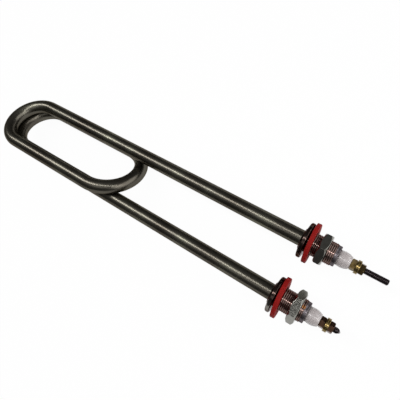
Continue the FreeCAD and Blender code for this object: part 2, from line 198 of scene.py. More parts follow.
class HeaterColours(bpy.types.PropertyGroup):
    """Colours of the finishes."""

    tube_dark: colour("Tube, dark", "Darkest heat tint of the tube", "#4D4841")
    tube_light: colour("Tube, light", "Lightest heat tint of the tube", "#6D6C60")
    bush: colour("Bush", "Turned steel of the bushes", "#4C3F3B")
    # Paler crest colour of the bushes: partly wear, partly a painted highlight.
    bush_worn: colour("Bush, worn", "Worn crests and edges of the bushes", "#75615B")
    lock_nut: colour("Lock nut", "Plated steel of the lock nuts", "#84837D")
    gasket: colour("Gasket", "Red rubber of the gaskets", "#7E110E")
    bead: colour("Bead", "Glazed ceramic of the beads", "#A29B9A")
    brass: colour("Brass", "Tarnished brass of the right nuts", "#665535")
    brass_brown: colour("Brass, brown", "Browned brass of the left nuts", "#584235")
    brass_worn: colour("Brass, worn", "Bright brass of rubbed places", "#806E45")
    stud: colour("Stud", "Blackened steel of the studs", "#262223")


class HeaterStage(bpy.types.PropertyGroup):
    """Light and camera."""

    strip_power: power("Strip lamp", "Power of the long lamp over the coil", 7.5)
    over_power: power("Overhead lamp", "Power of the lamp over the terminals", 4.6)
    right_power: power("Right lamp", "Power of the broad lamp at the terminal end", 13.5)
    near_power: power("Near lamp", "Power of the soft lamp at the near side", 0.8)
    ambient: FloatProperty(name="Ambient", description="Strength of the soft light from above",
                           default=0.2, min=0.0, max=2.0)


# Nodes

def settle(thing, **settings):
    """Set the named properties of a thing and return it."""
    for name, value in settings.items():
        setattr(thing, name, value)
    return thing


def add(tree, kind, inputs=None, **settings):
    """Add a node with its settings, and values or links for its inputs. Returns its outputs."""
    node = settle(tree.nodes.new(kind), **settings)
    for name, value in (inputs or {}).items():
        if isinstance(value, bpy.types.NodeSocket):
            tree.links.new(value, node.inputs[name])
        else:
            node.inputs[name].default_value = value
    return node.outputs


def maths(tree, operation, *values):
    """Result of a maths operation on values or links."""
    return add(tree, "ShaderNodeMath", dict(enumerate(values)), operation=operation)[0]


def ranged(tree, value, start, end, low=0.0, high=1.0):
    """A value mapped from start..end to low..high, and held there."""
    return add(tree, "ShaderNodeMapRange", {
        "Value": value, "From Min": start, "From Max": end, "To Min": low, "To Max": high})[0]


def vector(tree, x, y, z=0.0):
    return add(tree, "ShaderNodeCombineXYZ", {0: x, 1: y, 2: z})[0]


def axes_of(tree, place):
    """The X, Y and Z of a place."""
    return add(tree, "ShaderNodeSeparateXYZ", {0: place})


def noise(tree, place, scale, detail, roughness=0.5):
    return add(tree, "ShaderNodeTexNoise", {
        "Vector": place, "Scale": scale, "Detail": detail, "Roughness": roughness})[0]


def streaks(tree, place, along, across, detail):
    """Noise stretched along X, from the length and width of its cells in millimetres."""
    stretched = add(tree, "ShaderNodeMapping", {
        "Vector": place, "Scale": (per_mm(along), per_mm(across), per_mm(across))})[0]
    return noise(tree, stretched, 1.0, detail)


def shades(tree, value, *stops):
    """Colour ramp with a position and a colour for each stop."""
    ramp = add(tree, "ShaderNodeValToRGB", {0: value})[0]
    elements = ramp.node.color_ramp.elements
    while len(elements) < len(stops):
        elements.new(0.5)
    for element, (position, shade) in zip(elements, stops):
        settle(element, position=position, color=shade_of(shade))
    return ramp


def blend(tree, share, base, over):
    """A colour laid over a base where share is 1."""
    return add(tree, "ShaderNodeMix", {0: share, 6: base, 7: shade_of(over)}, data_type="RGBA")[2]


def bump(tree, strength, distance, height):
    return add(tree, "ShaderNodeBump", {
        "Strength": strength, "Distance": distance, "Height": height})[0]


def spot_near(tree, place, point, edge, full):
    """1 close to a point, 0 beyond an edge: both are distances in metres."""
    away = add(tree, "ShaderNodeVectorMath", {0: place, 1: point}, operation="DISTANCE")["Value"]
    return ranged(tree, away, edge, full)


def from_axis(tree, axes, sizes):
    """Distance of a place from the axis of its own leg."""
    off = maths(tree, "SUBTRACT", maths(tree, "ABSOLUTE", axes["Y"]), sizes.leg_spacing / 2)
    return add(tree, "ShaderNodeVectorMath", {0: vector(tree, off, axes["Z"])},
               operation="LENGTH")["Value"]


def new_tree(name, **sockets):
    """A geometry node tree with one geometry output and named inputs of each kind."""
    tree = bpy.data.node_groups.new(name, "GeometryNodeTree")
    tree.interface.new_socket(name="Geometry", in_out="OUTPUT", socket_type="NodeSocketGeometry")
    for kind, names in sockets.items():
        for socket in names:
            tree.interface.new_socket(name=socket, in_out="INPUT", socket_type="NodeSocket" + kind)
    return tree, add(tree, "NodeGroupInput")


def close_tree(tree, skin, given):
    """Give a geometry tree's skin its material and its way out."""
    real = add(tree, "GeometryNodeRealizeInstances", {"Geometry": skin})[0]
    dressed = add(tree, "GeometryNodeSetMaterial", {
        "Geometry": real, "Material": given["Material"]})[0]
    add(tree, "NodeGroupOutput", {"Geometry": dressed})


def put(name, data):
    """A new object in the scene."""
    thing = bpy.data.objects.new(name, data)
    bpy.context.scene.collection.objects.link(thing)
    return thing


def made_by(tree, data, values, shape):
    """Add to a shape the plain mesh that a geometry node tree makes from a passing object."""
    holder = put("holder", data)
    modifier = holder.modifiers.new(tree.name, "NODES")
    modifier.node_group = tree
    for item in tree.interface.items_tree:
        if item.item_type == "SOCKET" and item.in_out == "INPUT" and item.name in values:
            modifier[item.identifier] = values[item.name]
    graph = bpy.context.evaluated_depsgraph_get()
    mesh = bpy.data.meshes.new_from_object(holder.evaluated_get(graph))
    bpy.data.objects.remove(holder, do_unlink=True)
    if not mesh.polygons:
        raise RuntimeError(tree.name + " made no faces")
    shape.from_mesh(mesh)
    bpy.data.meshes.remove(mesh)


def thread_tree():
    """Skin of a right-hand screw thread along X, from one plain ring to another.

    A grid is wound into a helix whose rows follow the thread, so crests and flanks are clean.
    """
    tree = bpy.data.node_groups.get("Screw thread")
    if tree:
        return tree
    tree, given = new_tree(
        "Screw thread", Geometry=["Geometry"],
        Float=["Start", "Length", "Crest Radius", "Depth", "Pitch", "Start Radius",
               "End Radius", "Lead In", "Lead Out", "Wear", "Axis Y", "Seed"],
        Int=["Around", "Steps", "Turns"], Material=["Material"])
    rows = maths(tree, "MULTIPLY_ADD", given["Turns"], given["Steps"], 1.0)
    columns = maths(tree, "ADD", given["Around"], 1.0)
    grid = add(tree, "GeometryNodeMeshGrid", {
        "Size X": 1.0, "Size Y": 1.0, "Vertices X": rows, "Vertices Y": columns})["Mesh"]
    place = axes_of(tree, add(tree, "GeometryNodeInputPosition")[0])
    along = maths(tree, "ADD", place["X"], 0.5)
    round_it = maths(tree, "ADD", place["Y"], 0.5)
    turns = maths(tree, "MULTIPLY", along, given["Turns"])
    phase = maths(tree, "FRACT", turns)
    # Where this point is along the axis, held between the two end rings.
    advance = maths(tree, "ADD", turns, round_it)
    advance = maths(tree, "ADD", advance, -1.0)
    advance = maths(tree, "MULTIPLY", advance, given["Pitch"])
    offset = add(tree, "ShaderNodeClamp", {
        "Value": advance, "Min": 0.0, "Max": given["Length"]})[0]
    # The thread's form: worn crests, 0.4 of the pitch wide, and narrow roots.
    falling = ranged(tree, phase, 0.34, 0.57)
    rising = ranged(tree, phase, 0.94, 0.7)
    cut = maths(tree, "MINIMUM", falling, rising)
    cut = maths(tree, "MULTIPLY", cut, given["Depth"])
    radius = maths(tree, "SUBTRACT", given["Crest Radius"], cut)
    # The thread fades into plain rings at both ends.
    fade_in = ranged(tree, offset, 0.0, given["Lead In"])
    left = maths(tree, "SUBTRACT", given["Length"], offset)
    fade_out = ranged(tree, left, 0.0, given["Lead Out"])
    for fade, ring in ((fade_in, given["Start Radius"]), (fade_out, given["End Radius"])):
        radius = add(tree, "ShaderNodeMix", {"Factor": fade, 2: ring, 3: radius},
                     data_type="FLOAT")[0]
    angle = maths(tree, "MULTIPLY", round_it, 2 * pi)
    cosine = maths(tree, "COSINE", angle)
    sine = maths(tree, "SINE", angle)
    x = maths(tree, "ADD", given["Start"], offset)
    # Small dents and worn crests, none at the end rings. The lookup point follows the surface.
    spot = vector(tree, maths(tree, "MULTIPLY", x, per_mm(2.0)),
                  maths(tree, "MULTIPLY", cosine, 4.0), maths(tree, "MULTIPLY", sine, 4.0))
    rough = add(tree, "ShaderNodeTexNoise", {
        "Vector": spot, "W": given["Seed"], "Scale": 1.0, "Detail": 3.0}, noise_dimensions="4D")[0]
    dent = ranged(tree, rough, 0.5, 0.75)
    inside = maths(tree, "MULTIPLY", fade_in, fade_out)
    dent = maths(tree, "MULTIPLY", dent, inside)
    dent = maths(tree, "MULTIPLY", dent, given["Wear"])
    radius = maths(tree, "SUBTRACT", radius, dent)
    y = maths(tree, "MULTIPLY_ADD", radius, cosine, given["Axis Y"])
    z = maths(tree, "MULTIPLY", radius, sine)
    wound = add(tree, "GeometryNodeSetPosition", {
        "Geometry": grid, "Position": vector(tree, x, y, z)})[0]
    joined = add(tree, "GeometryNodeMergeByDistance", {"Geometry": wound, "Distance": 1e-6})[0]
    close_tree(tree, add(tree, "GeometryNodeFlipFaces", {"Mesh": joined})[0], given)
    return tree


def capture(tree, geometry, kind, value):
    """Keep a value on each point of a geometry. Returns the geometry and the kept value."""
    node = add(tree, "GeometryNodeCaptureAttribute", {"Geometry": geometry},
               domain="POINT")[0].node
    node.capture_items.new(kind, "Kept")
    tree.links.new(value, node.inputs["Kept"])
    return node.outputs["Geometry"], node.outputs["Kept"]


def tube_tree():
    """A tube along a curve, with a place attribute that follows it as if it were straight."""
    tree, given = new_tree("Bent tube", Geometry=["Geometry"], Float=["Radius"],
                           Int=["Around"], Material=["Material"])
    path, along = capture(tree, given["Geometry"], "FLOAT",
                          add(tree, "GeometryNodeSplineParameter")["Length"])
    circle = add(tree, "GeometryNodeCurvePrimitiveCircle", {
        "Resolution": given["Around"], "Radius": given["Radius"]})[0]
    ring, place = capture(tree, circle, "VECTOR", add(tree, "GeometryNodeInputPosition")[0])
    skin = add(tree, "GeometryNodeCurveToMesh", {"Curve": path, "Profile Curve": ring})[0]
    across = axes_of(tree, place)
    marked = add(tree, "GeometryNodeStoreNamedAttribute", {
        "Geometry": skin, "Name": "unbent",
        "Value": vector(tree, along, across["X"], across["Y"])},
        data_type="FLOAT_VECTOR", domain="POINT")[0]
    close_tree(tree, marked, given)
    return tree


# Materials

def new_material(name):
    material = bpy.data.materials.new(name)
    material.use_nodes = True
    material.node_tree.nodes.clear()
    return material, material.node_tree


def start_material(name):
    """A new material, its node tree and the place on the object in metres."""
    material, tree = new_material(name)
    return material, tree, add(tree, "ShaderNodeTexCoord")["Object"]


def close_material(material, base, roughness, relief, others):
    """Put the surface shader and the output at the end of a material's nodes."""
    tree = material.node_tree
    shader = add(tree, "ShaderNodeBsdfPrincipled", {
        "Base Color": base, "Roughness": roughness, "Normal": relief, **others})
    add(tree, "ShaderNodeOutputMaterial", {"Surface": shader["BSDF"]})
    return material


def tube_steel(colours):
    """Stainless steel, drawn, polished and then darkened by heat.

    A thin oxide gives near-black brown that drifts to olive grey every few centimetres. The
    polish still shows as a sharp highlight, broken by fine lines along the tube.
    """
    material, tree = new_material("heat tinted stainless steel")
    place = add(tree, "ShaderNodeAttribute", attribute_name="unbent")["Vector"]
    drift = noise(tree, place, per_mm(38), 3.0, 0.55)
    tint = shades(tree, drift, (0.32, colours.tube_dark), (0.55, "#5A574F"),
                  (0.72, colours.tube_light))
    # Drawing lines are a few hundredths of a millimetre wide: drawn at 0.35 mm to show.
    lines = streaks(tree, place, 25, 0.35, 2.0)
    shade = ranged(tree, lines, 0.3, 0.7, 0.94, 1.05)
    base = add(tree, "ShaderNodeVectorMath", {0: tint, 1: shade}, operation="MULTIPLY")[0]
    dull = ranged(tree, drift, 0.3, 0.75, 0.27, 0.33)
    relief = bump(tree, 0.02, 0.00001, lines)
    # The oxide keeps the rims of the tube dark, so the edge tint is low.
    return close_material(material, base, dull, relief, {
        "Metallic": 1.0, "Specular Tint": (0.5, 0.48, 0.45, 1.0)})


def bush_steel(colours):
    """Mild steel, turned on a lathe and dulled by brazing heat.

    Brown-black with a dull gloss. Turning leaves fine rings. The crests are paler and slightly
    pink, partly from wear and partly as a painted highlight, and the left collar's outer rim is
    painted light grey as a painted reflection. The collar is darkest, the nose bare and grey, and
    a painted orange glint shows as a copper spot.
    """
    sizes = bpy.context.scene.heater_sizes
    material, tree, place = start_material("turned steel, browned")
    axes = axes_of(tree, place)
    # The crests are paler than the roots: partly wear, partly a painted highlight on the crests
    # and painted shade in the roots.
    radius = from_axis(tree, axes, sizes)
    crest = sizes.thread_diameter / 2
    worn_and_lit_crests = ranged(tree, radius, crest - 0.0004, crest - 0.00005)
    # Feed marks of the lathe are about 0.1 mm apart: drawn at 0.3 mm to show.
    marks = streaks(tree, place, 0.3, 9, 1.0)
    patches = noise(tree, place, per_mm(5), 3.0)
    dark = shades(tree, patches, (0.35, "#3C312D"), (0.7, colours.bush))
    # Painted highlight and wear: the crests take the paler colour.
    base = blend(tree, worn_and_lit_crests, dark, colours.bush_worn)
    # The collar and its cone are a darker brown.
    collar = ranged(tree, axes["X"], 0.001, -0.001)
    base = blend(tree, collar, base, "#3F3430")
    # A painted reflection: the left collar's rim is painted light grey on its outer side, where it
    # mirrors the bright floor.
    edge = sizes.collar_diameter / 2
    rim = ranged(tree, radius, edge - 0.0018, edge - 0.0008)
    outer = ranged(tree, axes["Y"], -0.027, -0.031)
    rim = maths(tree, "MULTIPLY", rim, outer)
    base = blend(tree, rim, base, "#7C7973")
    # The plain nose is bare, greyer steel.
    nose = sizes.tube_end - sizes.nose_length
    bare = ranged(tree, axes["X"], nose - 0.0003, nose + 0.0001)
    base = blend(tree, bare, base, "#645F62")
    # A painted orange glint on the left bush, beside its nut, coloured like copper.
    orange_glint = spot_near(tree, place, (0.0189, -0.0197, 0.0079), 0.0016, 0.0008)
    base = blend(tree, orange_glint, base, "#946239")
    dull = ranged(tree, patches, 0.3, 0.7, 0.13, 0.19)
    dull = maths(tree, "MULTIPLY_ADD", bare, 0.18, dull)
    relief = bump(tree, 0.15, 0.00002, marks)
    return close_material(material, base, dull, relief, {
        "Metallic": 1.0, "Specular Tint": (0.4, 0.36, 0.36, 1.0)})


def nut_steel(colours):
    """Mild steel, milled from drawn bar and thinly plated.

    Mid grey with a greenish cast, faint draw lines along the flats and small darker stains.
    """
    material, tree, place = start_material("plated steel")
    lines = streaks(tree, place, 6, 0.4, 2.0)
    stains = noise(tree, place, per_mm(3), 4.0, 0.6)
    base = shades(tree, stains, (0.3, "#7B7A74"), (0.55, colours.lock_nut), (0.8, "#8B8984"))
    dull = ranged(tree, stains, 0.3, 0.7, 0.14, 0.2)
    relief = bump(tree, 0.02, 0.00002, lines)
    return close_material(material, base, dull, relief, {"Metallic": 1.0})


def gasket_rubber(colours):
    """Red rubber, punched from moulded sheet.

    Matt dark red with a slightly grainy skin and slightly paler patches.
    """
    material, tree, place = start_material("red rubber, moulded")
    grain = noise(tree, place, per_mm(0.5), 3.0)
    patches = noise(tree, place, per_mm(5), 3.0)
    base = shades(tree, patches, (0.3, "#7A0F0C"), (0.6, colours.gasket), (0.85, "#921915"))
    relief = bump(tree, 0.1, 0.00003, grain)
    return close_material(material, base, 0.7, relief, {"IOR": 1.5, "Specular IOR Level": 0.12})


def bead_ceramic(colours):
    """Steatite, pressed, fired and glazed.

    Pale warm grey with very faint specks. The clear glaze is glossy and slightly wavy.
    """
    material, tree, place = start_material("glazed steatite")
    specks = noise(tree, place, per_mm(0.8), 3.0)
    base = shades(tree, specks, (0.3, "#A19A99"), (0.5, colours.bead), (0.8, "#A39C9B"))
    waves = noise(tree, place, per_mm(2.5), 1.0)
    relief = bump(tree, 0.01, 0.00003, waves)
    return close_material(material, base, 0.3, relief, {
        "IOR": 1.55, "Coat Weight": 0.3, "Coat Roughness": 0.1, "Coat IOR": 1.5,
        "Coat Normal": relief})


def terminal_brass(name, dark, mid, bright):
    """Free-cutting brass, turned and milled, then tarnished in use.

    Olive to brown with brighter yellow where it was rubbed, and a dull gloss.
    """
    material, tree, place = start_material(name)
    patches = noise(tree, place, per_mm(2.2), 4.0, 0.6)
    base = shades(tree, patches, (0.3, dark), (0.52, mid), (0.75, bright))
    # Cutter marks are about 0.05 mm apart: drawn at 0.25 mm to show.
    marks = streaks(tree, place, 0.25, 2, 1.0)
    dull = ranged(tree, patches, 0.3, 0.7, 0.3, 0.2)
    relief = bump(tree, 0.3, 0.00002, marks)
    return close_material(material, base, dull, relief, {"Metallic": 1.0})


def stud_steel(colours):
    """Steel, thread rolled and blackened.

    Near-black with a satin gloss, dark grey on the crests here and there, partly from wear and
    partly as a painted highlight. The sheared ends show paler metal.
    """
    sizes = bpy.context.scene.heater_sizes
    material, tree, place = start_material("blackened steel, rolled")
    wear = noise(tree, place, per_mm(1.5), 4.0, 0.65)
    dark = shades(tree, wear, (0.35, "#1C191A"), (0.7, colours.stud))
    axes = axes_of(tree, place)
    radius = from_axis(tree, axes, sizes)
    # Dark grey crests here and there: partly wear, partly a painted highlight.
    crest = sizes.stud_diameter / 2
    worn_and_lit_crests = ranged(tree, radius, crest - 0.0002, crest - 0.00003)
    worn_and_lit_crests = maths(tree, "MULTIPLY", worn_and_lit_crests, wear)
    base = blend(tree, worn_and_lit_crests, dark, "#4E4648")
    for side, _way, y in legs(sizes):
        point = (span(side + "_terminal_pin")[1], y, 0.0005)
        bare = spot_near(tree, place, point, 0.0014, 0.0008)
        base = blend(tree, bare, base, "#8F888A")
    relief = bump(tree, 0.3, 0.00003, wear)
    return close_material(material, base, 0.33, relief, {
        "Metallic": 1.0, "Specular Tint": (0.4, 0.38, 0.39, 1.0)})


def pressed_powder(_colours):
    """Magnesium oxide powder, packed hard in the tube: chalk white and matt, with fine grain."""
    material, tree, place = start_material("packed magnesia powder")
    grain = noise(tree, place, per_mm(0.4), 3.0)
    base = shades(tree, grain, (0.35, "#D2CFC6"), (0.7, "#E8E5DC"))
    relief = bump(tree, 0.6, 0.0001, grain)
    return close_material(material, base, 0.95, relief, {})


def seal_rubber(_colours):
    """Silicone rubber, cast in the tube's mouth: off-white, slightly waxy, a few small pits."""
    material, tree, place = start_material("cast silicone seal")
    pits = add(tree, "ShaderNodeTexVoronoi", {"Vector": place, "Scale": per_mm(1.2)})[0]
    base = shades(tree, pits, (0.1, "#B9B6AC"), (0.4, "#CFCCC2"))
    relief = bump(tree, 0.3, 0.0001, pits)
    return close_material(material, base, 0.5, relief, {"IOR": 1.41})


def coil_wire(_colours):
    """Resistance wire, wound and oxidised: grey-brown rings, drawn about 3.8 mm apart."""
    material, tree, place = start_material("oxidised resistance wire")
    turns = add(tree, "ShaderNodeTexWave", {
        "Vector": place, "Scale": per_mm(0.6) / 20, "Distortion": 0.3},
        wave_type="BANDS", bands_direction="X")[1]
    base = shades(tree, turns, (0.2, "#3A3531"), (0.8, "#857C73"))
    relief = bump(tree, 0.8, 0.0002, turns)
    return close_material(material, base, 0.45, relief, {"Metallic": 1.0})


def dull_brass(colours):
    """The brass of the right terminal's nuts, olive."""
    return terminal_brass("tarnished brass", "#4A3D26", colours.brass, "#7E6D46")


def brown_brass(colours):
    """The brass of the left terminal's nuts, which the heat has browned."""
    return terminal_brass("browned brass", "#40302A", colours.brass_brown, "#735643")


def rubbed_brass(colours):
    """The brass of the washers, whose rims are rubbed bright."""
    return terminal_brass("rubbed brass", "#5E5030", colours.brass_worn, "#A89262")


def finish(maker):
    """The material that a maker builds from the scene's colours, built once."""
    scene = bpy.context.scene
    key = "made_" + maker.__name__
    if key not in scene:
        scene[key] = maker(scene.heater_colours).name
    return bpy.data.materials[scene[key]]


# Mesh pieces

def mend(shape):
    """Merge doubles, drop empty faces and point the normals outwards."""
    bmesh.ops.remove_doubles(shape, verts=shape.verts, dist=1.5e-6)
    bmesh.ops.dissolve_degenerate(shape, edges=shape.edges, dist=1e-7)
    bmesh.ops.recalc_face_normals(shape, faces=shape.faces)


def turned(profile, around, closed=True, shape=None):
    """A shape turned about the X axis from (x, radius) points, each a number or a list of
    one number per angle. It is added to a given shape, or a new one. A closed one is mended.
    """
    shape = bmesh.new() if shape is None else shape
    rings = []
    for x, radius in profile:
        ring = []
        for i in range(around):
            angle = 2 * pi * i / around
            r = radius[i] if isinstance(radius, list) else radius
            along = x[i] if isinstance(x, list) else x
            ring.append(shape.verts.new((along, r * cos(angle), r * sin(angle))))
        rings.append(ring)
    pairs = list(zip(rings, rings[1:]))
    if closed:
        pairs.append((rings[-1], rings[0]))
    for first, second in pairs:
        for i in range(around):
            k = (i + 1) % around
            shape.faces.new((first[i], first[k], second[k], second[i]))
    if closed:
        mend(shape)
    return shape


def arc(centre, radius, start, end, steps):
    """Points of a circular arc in the profile plane, angles in degrees."""
    angles = [radians(start + (end - start) * i / steps) for i in range(steps + 1)]
    return [(centre[0] + radius * cos(angle), centre[1] + radius * sin(angle)) for angle in angles]


def rounded_ring(outer, bore, thickness, edge):
    """Closed profile of a flat ring from x = 0, with rounded outer edges."""
    points = [(0.0, bore)]
    points += arc((edge, outer - edge), edge, 180, 90, 4)
    points += arc((thickness - edge, outer - edge), edge, 90, 0, 4)
    points.append((thickness, bore))
    return points


def add_piece(name, shape, body, maker, node, at=(0, 0, 0), bevel=0.0, sharp=35):
    """Make an object of a shape, let it ride on a body and stand for a node of the frame."""
    shape.transform(Matrix.Translation(at))
    mesh = bpy.data.meshes.new(name)
    shape.to_mesh(mesh)
    shape.free()
    mesh.shade_smooth()
    mesh.set_sharp_from_angle(angle=radians(sharp))
    mesh.materials.clear()
    mesh.materials.append(finish(maker))
    piece = put(name, mesh)
    if bevel:
        settle(piece.modifiers.new("Edges", "BEVEL"), width=bevel, segments=2,
               limit_method="ANGLE", angle_limit=radians(22), harden_normals=True,
               use_clamp_overlap=True)
    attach(piece, body)
    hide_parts(node)
    return piece


def add_threaded(name, shape, maker, node, y, thread):
    """Move an open shape to y and close it with a screw thread between its two plain rings."""
    shape.transform(Matrix.Translation((0, y, 0)))
    turns = ceil(thread["Length"] / thread["Pitch"]) + 1
    made_by(thread_tree(), bpy.data.meshes.new("thread"), {
        "Steps": 8, "Turns": turns, "Axis Y": y, "Material": finish(maker), **thread}, shape)
    mend(shape)
    if any(not edge.is_manifold for edge in shape.edges):
        raise RuntimeError(name + " isn't closed")
    add_piece(name, shape, ROOT, maker, node, sharp=62)


def nut_shape(flats, thickness, bore, turned_by, around, countersink):
    """Hexagon nut from x = 0, its corners cut by cones, its bore countersunk at both faces."""
    apothem = flats / 2
    # The cones start just inside the flats and slope by 36 degrees.
    start = apothem * 0.985
    hexagon = []
    for i in range(around):
        angle = (2 * pi * i / around) % (pi / 3) - pi / 6
        hexagon.append(apothem / cos(angle))
    cut = [(r - start) * tan(radians(36)) for r in hexagon]
    shape = turned([
        (countersink, bore), (0.0, bore + countersink), (0.0, start),
        (cut, hexagon), ([thickness - c for c in cut], hexagon),
        (thickness, start), (thickness, bore + countersink), (thickness - countersink, bore)],
        around)
    shape.transform(Matrix.Rotation(turned_by, 4, "X"))
    return shape


def coil_points(sizes):
    """Centre line of the coil: three half circles joined by straight runs, legs level."""
    half = sizes.leg_spacing / 2
    right = Vector((0, half, 0))
    left = Vector((0, -half, 0))
    upper = Vector((0, -half - sizes.upper_offset, sizes.tube_diameter + sizes.upper_gap))
    lower = Vector((0, half + sizes.lower_offset, -sizes.tube_diameter - sizes.lower_gap))
    far = -sizes.leg_length
    middle = -sizes.middle_distance
    points = [Vector((sizes.tube_end, half, 0))]
    for x, start, end, way in ((far, right, upper, -1), (middle, upper, lower, 1),
                               (far, lower, left, -1)):
        centre = (start + end) / 2
        reach = (end - start).length / 2
        for i in range(BEND_STEPS + 1):
            angle = pi * i / BEND_STEPS
            points.append(centre + (start - centre) * cos(angle)
                          + Vector((x + way * reach * sin(angle), 0, 0)))
    points.append(Vector((sizes.tube_end, -half, 0)))
    # The straight runs get points too, so that the dressed tube has even faces.
    even = [points[0]]
    for point in points[1:]:
        before = even[-1]
        count = max(1, round((point - before).length / RUN_STEP))
        even += [before.lerp(point, i / count) for i in range(1, count + 1)]
    return even


def facing(place, across, up, forward):
    """Matrix of a lamp or camera at a place, looking forward."""
    return (Matrix.Translation(place) @ Matrix((across, up, -forward)).transposed().to_4x4())


# Pieces and stage

def build_tube(sizes):
    points = coil_points(sizes)
    curve = settle(bpy.data.curves.new("coil_path", "CURVE"), dimensions="3D",
                   twist_mode="MINIMUM")
    spline = curve.splines.new("POLY")
    spline.points.add(len(points) - 1)
    for point, place in zip(spline.points, points):
        point.co = (*place, 1.0)
    shape = bmesh.new()
    made_by(tube_tree(), curve, {
        "Radius": sizes.tube_diameter / 2, "Around": 64, "Material": finish(tube_steel)}, shape)
    # The face nearest the tube's mouth tells which way the skin looks.
    mouth = min(shape.faces, key=lambda face: (face.calc_center_median() - points[0]).length)
    away = mouth.calc_center_median() - points[0]
    if mouth.normal.dot(Vector((0, away.y, away.z))) < 0:
        bmesh.ops.reverse_faces(shape, faces=shape.faces)
    piece = add_piece("bent_tube", shape, ROOT, tube_steel, "heating_tube")
    settle(piece.modifiers.new("Wall", "SOLIDIFY"), thickness=sizes.tube_wall, offset=-1.0,
           use_rim=True)


def build_bushes(sizes):
    around = sizes.around
    bore = sizes.tube_diameter / 2 + PLAY
    end = sizes.tube_end
    crest = sizes.thread_diameter / 2
    nose = crest - sizes.nose_step
    thread_end = end - sizes.nose_length
    relief = crest - sizes.thread_depth
    # Radii of the rounded edges of the collar, the cone and the nose.
    rim, top, lip = 0.0009, 0.0005, 0.0006
    collar = sizes.collar_diameter / 2
    back = -sizes.collar_thickness
    for seed, (side, _way, y) in enumerate(legs(sizes)):
        profile = [(0.0, relief)]
        profile += arc((-rim, collar - rim), rim, 0, 90, 6)
        profile += arc((back + rim, collar - rim), rim, 90, 180, 6)
        profile += [(back, sizes.boss_foot / 2)]
        slope = atan2(sizes.boss_height, (sizes.boss_foot - sizes.boss_diameter) / 2)
        profile += arc((back - sizes.boss_height + top, sizes.boss_diameter / 2 - 0.0002),
                       top, 90 + degrees(slope), 180, 4)
        profile += [(back - sizes.boss_height, bore), (end, bore)]
        profile += arc((end - lip, nose - lip), lip, 0, 90, 5)
        profile += [(thread_end, nose)]
        shape = turned(profile, around, closed=False)
        add_threaded(side + "_bush", shape, bush_steel, side + "_fitting", y, {
            "Start": 0.0, "Length": thread_end, "Crest Radius": crest,
            "Depth": sizes.thread_depth, "Pitch": sizes.thread_pitch, "Start Radius": relief,
            "End Radius": nose, "Lead In": 0.0012, "Lead Out": 0.0008, "Wear": 0.00008,
            "Around": around, "Seed": 3.0 + seed * 5})


def build_gaskets(sizes):
    outer = sizes.gasket_diameter / 2
    edge = 0.00035
    # How far the skin waves in metres, and the nick's depth, its angle and half its width.
    waviness = 0.00012
    nick_depth, nick_at, nick_reach = 0.0013, 0.33, 0.12
    for side, way, y in legs(sizes):
        lean = getattr(sizes, side + "_gasket_lean")
        near = getattr(sizes, side + "_gasket_at")
        shape = turned(rounded_ring(outer, sizes.gasket_bore / 2, sizes.gasket_thickness,
                                    edge), sizes.around)
        chance = random.Random(11 + way)
        waves = [(k, chance.uniform(0, 6.28), chance.uniform(0.3, 1.0)) for k in range(2, 9)]
        for vertex in shape.verts:
            angle = atan2(vertex.co.z, vertex.co.y)
            wave = sum(size * sin(k * angle + start) for k, start, size in waves) / 7
            shrink = 1 - waviness * (1 + wave) / outer
            # The far edge of the left gasket is torn: a nick with ragged sides.
            if side == "left":
                nick = max(0.0, 1 - abs(angle - nick_at) / nick_reach)
                shrink -= nick_depth * nick * (1 + 0.5 * wave) / outer
            vertex.co.y *= shrink
            vertex.co.z *= shrink
        shape.transform(Matrix.Rotation(lean, 4, "Z"))
        add_piece(side + "_red_gasket", shape, ROOT, gasket_rubber,
                  side + "_gasket", at=(near + outer * sin(lean), y, -sizes.gasket_drop))


def build_lock_nuts(sizes):
    countersink, bevel = 0.0004, 0.00014
    for side, _way, y in legs(sizes):
        low, high = span(side + "_lock_nut")
        shape = nut_shape(sizes.lock_nut_flats, high - low, sizes.thread_diameter / 2 + PLAY,
                          getattr(sizes, side + "_lock_turn"), 96, countersink)
        add_piece(side + "_hexagon_nut", shape, side + "_lock_nut", nut_steel,
                  side + "_lock_nut", at=(low, y, 0), bevel=bevel, sharp=20)


def build_beads(sizes):
    bore = sizes.bead_bore / 2
    widest = sizes.bead_widest / 2
    tip = sizes.bead_tip / 2
    foot = sizes.bead_mouth / 2
    spigot = sizes.spigot_diameter / 2
    mouth = sizes.tube_end
    shoulder = mouth + sizes.bead_widest_at
    # Chamfers of the spigot and the foot, radius of the tip's edge, countersink of the bore.
    chamfer, edge, countersink = 0.0002, 0.0004, 0.0003
    for side, _way, y in legs(sizes):
        low, high = span(side + "_insulator")
        run = high - shoulder
        fall = widest - tip
        radius = (run ** 2 + fall ** 2) / (2 * fall)
        sweep = degrees(atan2(run, radius - fall))
        profile = [(low, bore), (low, spigot - chamfer), (low + chamfer, spigot),
                   (mouth, spigot), (mouth, foot - chamfer), (mouth + chamfer, foot),
                   (mouth + 0.0018, (foot + widest * 1.1) / 2.1)]
        dome = arc((shoulder, widest - radius), radius, 90, 90 - sweep, 14)
        profile += [point for point in dome if point[0] < high - edge]
        profile += arc((high - edge, tip - edge * 0.6), edge, 60, 0, 3)
        profile += [(high, bore + countersink), (high - countersink, bore)]
        shape = turned(profile, 64)
        add_piece(side + "_bead", shape, ROOT, bead_ceramic,
                  side + "_insulator", at=(0, y, 0), sharp=50)


